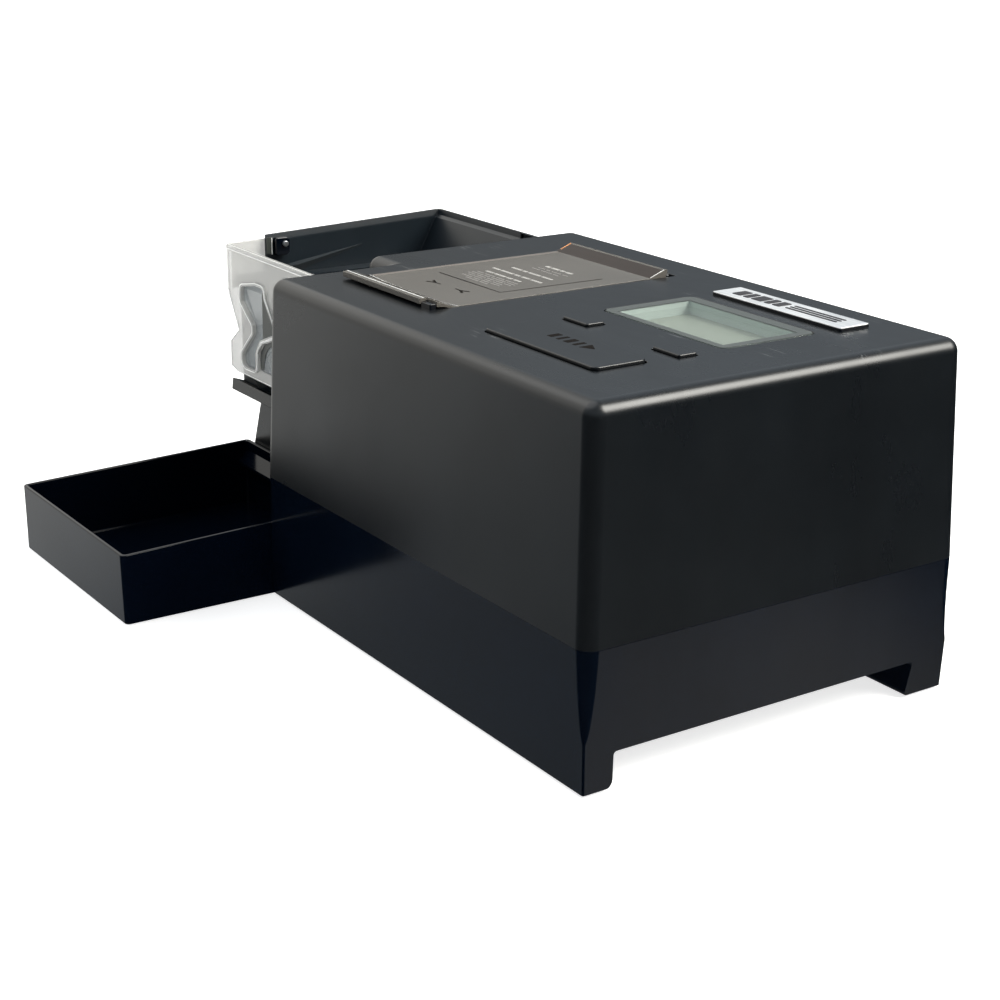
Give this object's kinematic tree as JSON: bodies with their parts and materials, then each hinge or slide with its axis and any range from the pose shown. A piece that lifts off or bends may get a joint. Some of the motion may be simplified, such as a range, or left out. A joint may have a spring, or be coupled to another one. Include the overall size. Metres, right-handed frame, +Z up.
{
  "type": "electric tube filling machine",
  "caption": "Table-top electric machine that fills paper tubes: black housing with display and buttons, smoked lid over the filling chamber, clear-fronted tube hopper and a loose catch tray.",
  "frame": {"origin": "middle of the footprint, on the table", "axes": "+X to the operator's right along the long side, -Y towards the operator, +Z up"},
  "size_m": [0.351, 0.2476, 0.1463],
  "materials": {
    "satin_black": "satin",
    "gloss_black": "semi gloss",
    "inner_black": "matte",
    "smoked": "smoked clear plastic, gloss",
    "clear": "clear plastic, lightly frosted",
    "screen": "grey green display",
    "silver": "brushed",
    "steel": "machined",
    "brass": "machined",
    "gear_white": "moulded",
    "board": "solder mask",
    "rubber": "matte"
  },
  "bodies": {
    "housing": {"top_cover": "satin_black", "base_housing": "gloss_black", "foot_pad_1": "rubber", "foot_pad_2": "rubber", "foot_pad_3": "rubber", "foot_pad_4": "rubber", "housing_screw_1": "steel", "housing_screw_2": "steel", "housing_screw_3": "steel", "housing_screw_4": "steel", "lid_hinge_pin": "steel", "tobacco_chamber": "inner_black", "stirrer_motor": "steel", "display_lens": "clear", "display_panel": "screen", "name_plate": "silver", "control_board": "board", "tube_bin": "inner_black", "hopper_front": "clear", "hopper_bracket": "inner_black", "hopper_screw": "steel", "tube_channel": "inner_black", "drum_motor": "steel", "feeder_housing": "satin_black", "eject_chute": "inner_black", "tube_shelf": "satin_black", "shelf_bracket": "inner_black", "nozzle": "steel", "nozzle_plate": "steel", "guide_rod_1": "steel", "guide_rod_2": "steel", "drive_motor": "steel", "injector_cover": "satin_black", "power_inlet": "inner_black", "power_switch": "inner_black"},
    "lid": {"chamber_lid": "smoked"},
    "start_button": {"start_button": "satin_black"},
    "left_key": {"left_key": "satin_black"},
    "right_key": {"right_key": "satin_black"},
    "tray": {"catch_tray": "gloss_black"},
    "drum": {"feed_drum": "gear_white", "drum_shaft": "steel"},
    "stirrer": {"stirrer": "steel", "stirrer_gear": "gear_white"},
    "stirrer_pinion": {"stirrer_pinion": "brass"},
    "drive": {"drive_shaft": "steel", "drive_gear": "gear_white", "rack_pinion": "brass"},
    "motor_pinion": {"motor_pinion": "brass"},
    "carriage": {"injector_carriage": "inner_black", "injector_spoon": "steel"},
    "plunger": {"compression_plunger": "steel"},
    "rocker": {"power_rocker": "gloss_black"}
  },
  "joints": [
    {"name": "lid_hinge", "type": "hinge", "parent": "housing", "child": "lid", "pos_m": [-0.00535, 0.09295, 0.1439], "axis": [-1, 0, 0], "range_deg": [0, 100]},
    {"name": "start_press", "type": "slide", "parent": "housing", "child": "start_button", "axis": [0, 0, -1], "range_m": [0, 0.0012], "stiffness_N_per_m": 500, "springref_m": -0.002},
    {"name": "left_key_press", "type": "slide", "parent": "housing", "child": "left_key", "axis": [0, 0, -1], "range_m": [0, 0.001], "stiffness_N_per_m": 300, "springref_m": -0.002},
    {"name": "right_key_press", "type": "slide", "parent": "housing", "child": "right_key", "axis": [0, 0, -1], "range_m": [0, 0.001], "stiffness_N_per_m": 300, "springref_m": -0.002},
    {"name": "tray_slide", "type": "slide", "parent": "housing", "child": "tray", "axis": [0, -1, 0], "range_m": [0, 0.115]},
    {"name": "drum_turn", "type": "hinge", "parent": "housing", "child": "drum", "pos_m": [-0.1205, 0.02475, 0.082], "axis": [0, 1, 0], "continuous": true},
    {"name": "stirrer_turn", "type": "hinge", "parent": "housing", "child": "stirrer", "pos_m": [-0.0045, 0.03475, 0.106], "axis": [0, 1, 0], "continuous": true},
    {"name": "stirrer_pinion_turn", "type": "hinge", "parent": "housing", "child": "stirrer_pinion", "pos_m": [-0.0045, 0.08625, 0.08315], "axis": [0, 1, 0], "continuous": true},
    {"name": "carriage_slide", "type": "slide", "parent": "housing", "child": "carriage", "axis": [0, -1, 0], "range_m": [0, 0.032]},
    {"name": "drive_turn", "type": "hinge", "parent": "housing", "child": "drive", "pos_m": [-0.0605, 0.07755, 0.048], "axis": [1, 0, 0], "range_deg": [0, 190]},
    {"name": "motor_pinion_turn", "type": "hinge", "parent": "housing", "child": "motor_pinion", "pos_m": [-0.0445, 0.0447, 0.048], "axis": [-1, 0, 0], "range_deg": [0, 620]},
    {"name": "plunger_slide", "type": "slide", "parent": "housing", "child": "plunger", "axis": [-1, 0, 0], "range_m": [0, 0.024]},
    {"name": "power_rocker_tilt", "type": "hinge", "parent": "housing", "child": "rocker", "pos_m": [0.147, 0.11975, 0.041], "axis": [-1, 0, 0], "range_deg": [0, 12]}
  ],
  "couplings": [
    {"joint": "stirrer_pinion_turn", "follows": "stirrer_turn", "ratio": -2},
    {"joint": "drive_turn", "follows": "carriage_slide", "rad_per_m": 100},
    {"joint": "motor_pinion_turn", "follows": "carriage_slide", "rad_per_m": 333.33}
  ]
}
